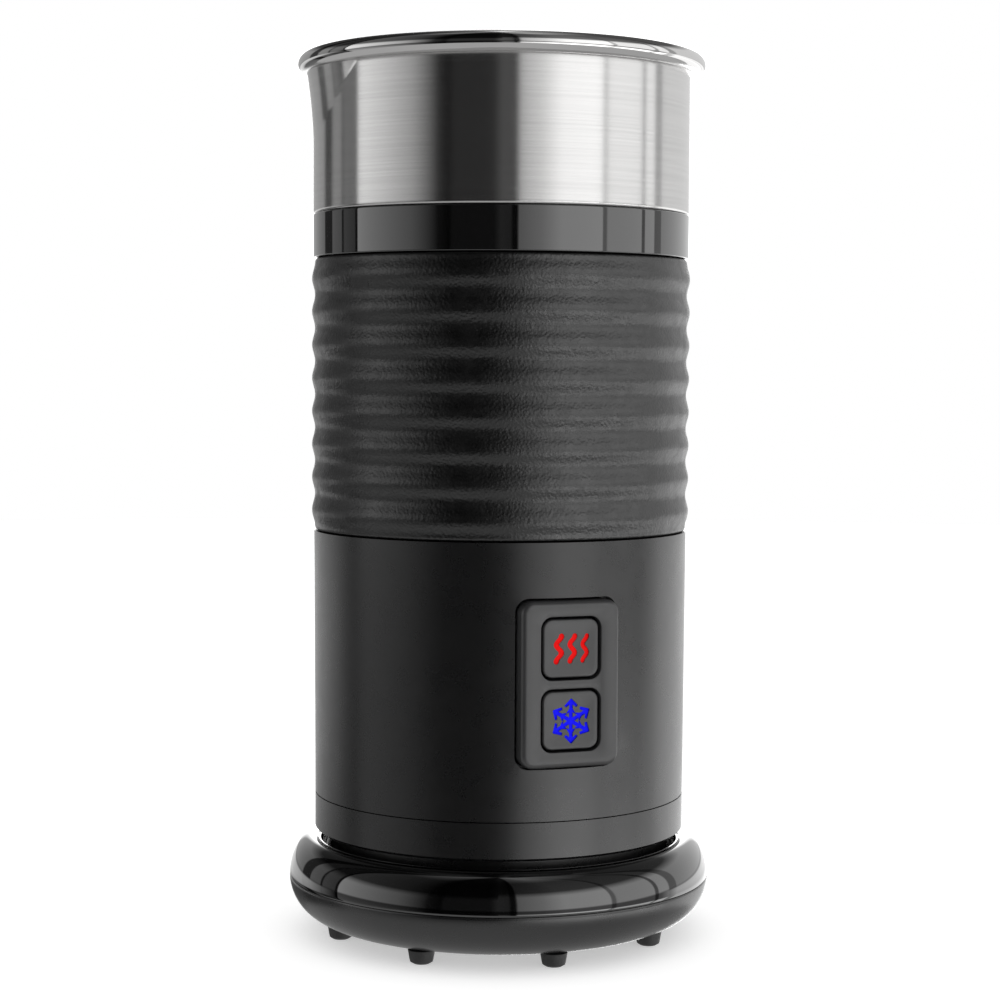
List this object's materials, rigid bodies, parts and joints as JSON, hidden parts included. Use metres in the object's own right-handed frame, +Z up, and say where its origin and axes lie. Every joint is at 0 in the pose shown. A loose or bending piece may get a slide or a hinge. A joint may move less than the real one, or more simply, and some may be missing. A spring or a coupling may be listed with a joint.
{
  "type": "milk frother",
  "caption": "Upright electric milk frother: steel-topped jug with ribbed grip and two keys, lifting off a round power base.",
  "frame": {"origin": "on the jug's axis, at the underside of the feet", "axes": "+Z up; the front with the control panel faces -Y, turned about 20 degrees towards +X; the pour spout is at -X"},
  "size_m": [0.101, 0.101, 0.2139],
  "materials": {
    "satin_plastic": "fine satin moulding",
    "gloss_plastic": "polished",
    "rubber_grip": "grained, matt",
    "foot_rubber": "matt",
    "seal_rubber": "soft, translucent white",
    "gasket_rubber": "soft",
    "brushed_pot": "brushed outside, polished rim",
    "steel_small": "bright plated",
    "aluminium_cast": "as cast",
    "element_metal": "dull sheath",
    "ceramic_body": "matt pale body",
    "zinc_plate": "zinc plated",
    "brass_contact": "bare",
    "bronze_bush": "sintered",
    "magnet_dark": "matt ferrite",
    "magnet_bright": "nickel plated",
    "copper_winding": "enamelled winding",
    "board_green": "solder mask",
    "component": "mixed component bodies",
    "switch_plastic": "matt",
    "led_lens": "diffused lens",
    "wire_jacket": "insulated leads",
    "carrier_plastic": "natural nylon",
    "whisk_plastic": "smooth",
    "coil_wire": "drawn stainless wire",
    "clear_plastic": "clear, polished",
    "key_plastic": "fine texture",
    "heat_red": "translucent light guide",
    "cold_blue": "translucent light guide"
  },
  "bodies": {
    "base": {"base_housing": "satin_plastic", "base_cover": "gloss_plastic", "base_feet": "foot_rubber", "base_connector": "satin_plastic", "base_contacts": "brass_contact", "base_screws": "zinc_plate", "cord_grommet": "foot_rubber"},
    "jug": {"bottom_cap": "satin_plastic", "jug_connector": "satin_plastic", "jug_contacts": "brass_contact", "cap_screws": "zinc_plate", "main_housing": "satin_plastic", "grip_sleeve": "rubber_grip", "trim_band": "gloss_plastic", "band_gasket": "gasket_rubber", "steel_pot": "brushed_pot", "drive_pin": "steel_small", "heater_plate": "aluminium_cast", "heating_ring": "element_metal", "thermostat": "ceramic_body", "motor_standoffs": "zinc_plate", "motor_bracket": "zinc_plate", "bracket_screws": "zinc_plate", "motor_screws": "zinc_plate", "motor_can": "zinc_plate", "motor_endcap": "switch_plastic", "motor_bushings": "bronze_bush", "stator_magnets": "magnet_dark", "power_board": "board_green", "power_parts": "component", "board_screws": "zinc_plate", "control_bezel": "key_plastic", "control_board": "board_green", "control_screws": "zinc_plate", "tact_switches": "switch_plastic", "status_leds": "led_lens", "wiring": "wire_jacket"},
    "motor_rotor": {"motor_shaft": "steel_small", "motor_armature": "copper_winding", "magnet_carrier": "carrier_plastic", "drive_magnets": "magnet_bright"},
    "whisk": {"whisk_hub": "whisk_plastic", "whisk_magnets": "magnet_bright"},
    "whisk_ring": {"whisk_coil": "coil_wire"},
    "lid": {"lid_cover": "clear_plastic", "lid_seal": "seal_rubber", "lid_knob": "whisk_plastic"},
    "heat_key": {"heat_button": "key_plastic", "heat_symbol": "heat_red"},
    "cold_key": {"cold_button": "key_plastic", "cold_symbol": "cold_blue"}
  },
  "joints": [
    {"name": "jug_lift", "type": "slide", "parent": "base", "child": "jug", "axis": [0, 0, 1], "range_m": [0, 0.03]},
    {"name": "lid_lift", "type": "slide", "parent": "jug", "child": "lid", "axis": [0, 0, 1], "range_m": [0, 0.03]},
    {"name": "motor_spin", "type": "hinge", "parent": "jug", "child": "motor_rotor", "pos_m": [0, 0, 0.07], "axis": [0, 0, 1], "continuous": true},
    {"name": "whisk_spin", "type": "hinge", "parent": "jug", "child": "whisk", "pos_m": [0, 0, 0.095], "axis": [0, 0, 1], "continuous": true},
    {"name": "whisk_ring_pull", "type": "slide", "parent": "whisk", "child": "whisk_ring", "axis": [0, 0, 1], "range_m": [0, 0.03]},
    {"name": "heat_press", "type": "slide", "parent": "jug", "child": "heat_key", "axis": [-0.3486, 0.9373, 0], "range_m": [0, 0.0008], "stiffness_N_per_m": 900},
    {"name": "cold_press", "type": "slide", "parent": "jug", "child": "cold_key", "axis": [-0.3486, 0.9373, 0], "range_m": [0, 0.0008], "stiffness_N_per_m": 900}
  ],
  "couplings": [
    {"joint": "whisk_spin", "follows": "motor_spin", "ratio": 1}
  ]
}
